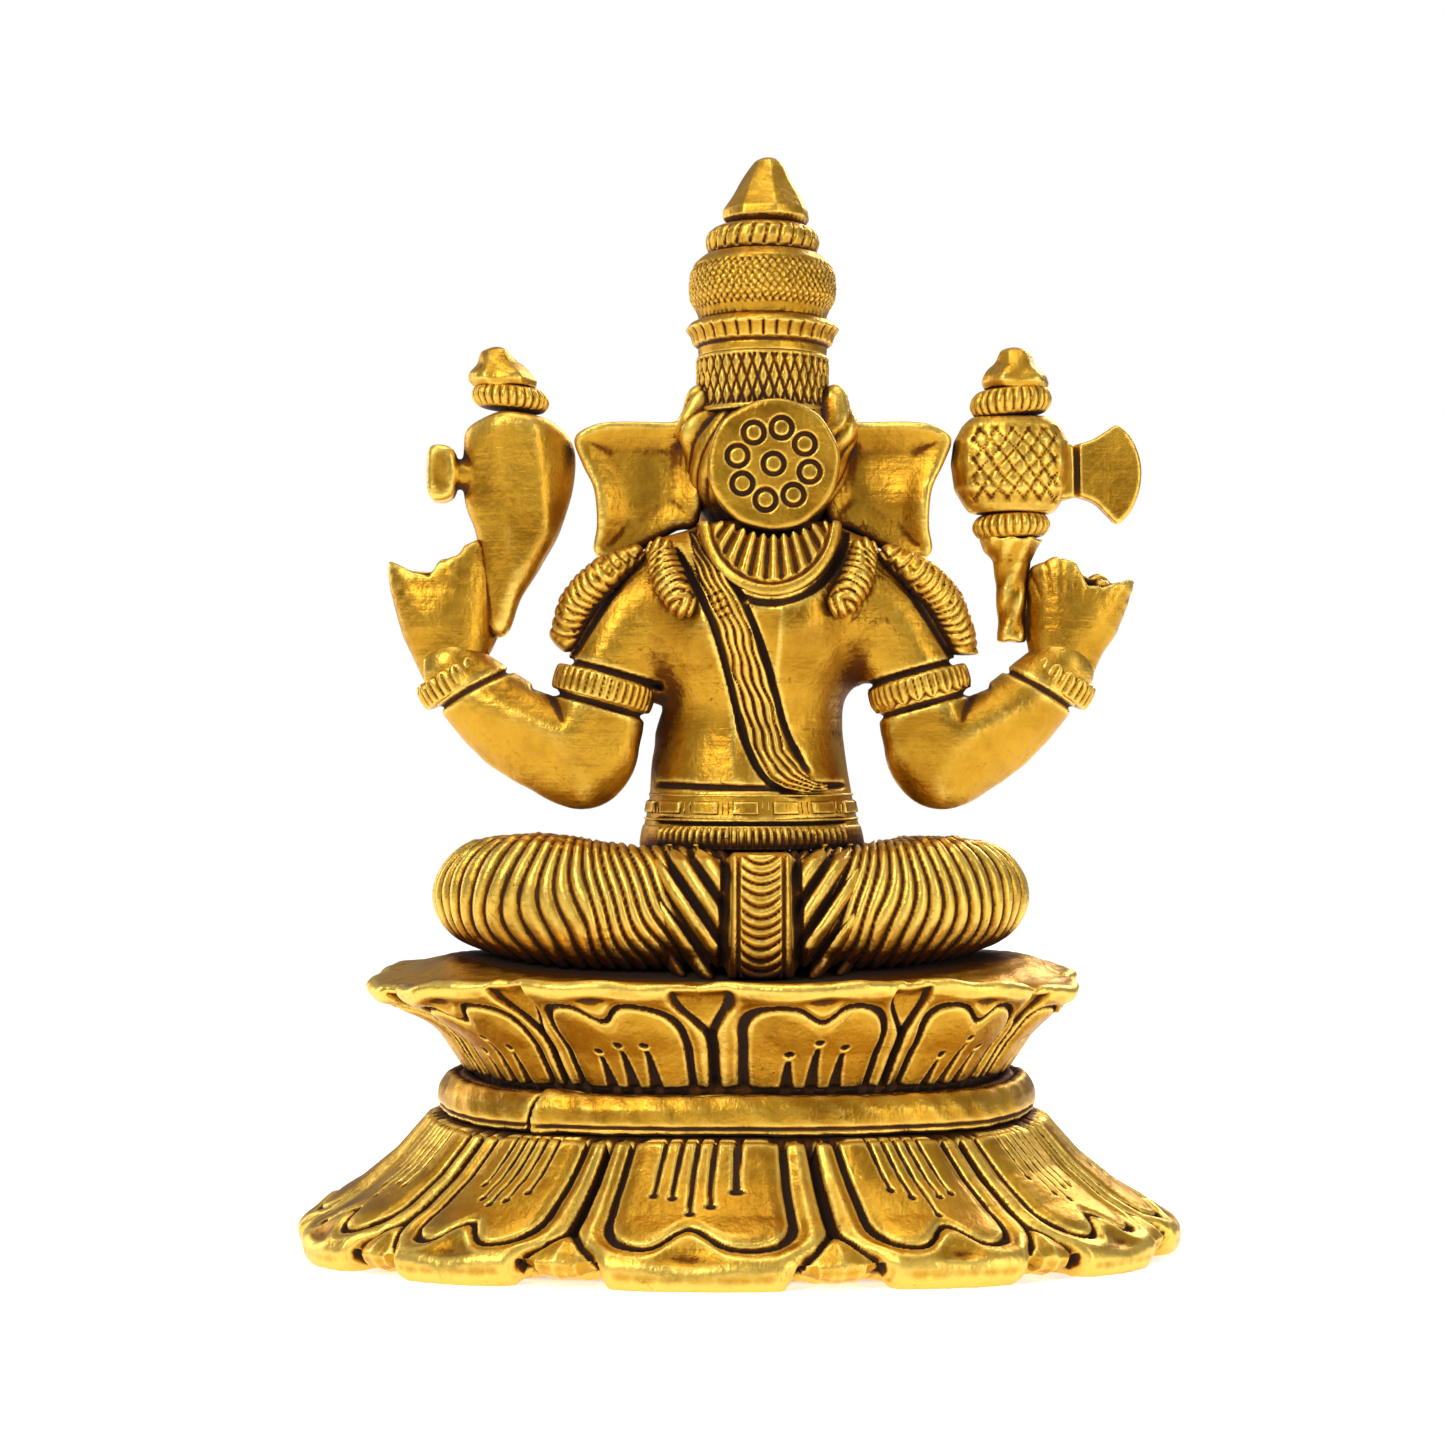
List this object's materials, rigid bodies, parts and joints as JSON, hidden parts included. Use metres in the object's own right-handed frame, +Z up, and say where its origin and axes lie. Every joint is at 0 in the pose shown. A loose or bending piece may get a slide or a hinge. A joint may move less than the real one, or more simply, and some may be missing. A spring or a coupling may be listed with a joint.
{
  "type": "hindu deity statue",
  "caption": "Cast brass statue of a seated, four-armed, elephant-headed deity with a tall crown, on a hollow double lotus pedestal.",
  "frame": {"origin": "centre of the pedestal's underside", "axes": "+Z up; the figure faces -Y and its own left is +X"},
  "size_m": [0.12, 0.0864, 0.15],
  "materials": {
    "figure": "antiqued brass, worn bright on the raised parts",
    "ornament": "antiqued brass, engraved, dark in the recesses",
    "pedestal": "antiqued brass with fine file marks",
    "fixing": "plain zinc-plated steel"
  },
  "bodies": {
    "root": {"axe_blade": "figure", "axe_finial": "ornament", "axe_handle": "figure", "axe_lower_collar": "ornament", "axe_socket": "figure", "axe_upper_collar": "ornament", "crown_band": "ornament", "crown_drum": "ornament", "crown_finial": "ornament", "crown_flange": "ornament", "crown_ring": "ornament", "dhoti_seat": "figure", "fixing_nut": "fixing", "fixing_stud": "fixing", "fixing_washer": "fixing", "front_necklace": "ornament", "head": "figure", "hip_belt": "ornament", "left_armlet": "ornament", "left_bracelet": "ornament", "left_ear": "figure", "left_foot": "figure", "left_front_arm": "figure", "left_front_bracelet": "ornament", "left_front_hand": "figure", "left_leg": "figure", "left_rear_arm": "figure", "left_rear_hand": "figure", "left_scarf": "ornament", "left_tassel": "ornament", "left_tusk": "ornament", "lower_lotus": "pedestal", "noose": "figure", "noose_collar": "ornament", "noose_finial": "ornament", "rear_collar": "ornament", "rear_disc": "ornament", "rear_pleat": "ornament", "right_armlet": "ornament", "right_bracelet": "ornament", "right_ear": "figure", "right_foot": "figure", "right_front_arm": "figure", "right_front_bracelet": "ornament", "right_front_hand": "figure", "right_leg": "figure", "right_rear_arm": "figure", "right_rear_hand": "figure", "right_scarf": "ornament", "right_tassel": "ornament", "right_tusk": "ornament", "sash": "ornament", "sweet": "ornament", "torso": "figure", "trunk": "figure", "upper_lotus": "pedestal", "waist_band": "pedestal", "waist_belt": "ornament"}
  },
  "joints": []
}
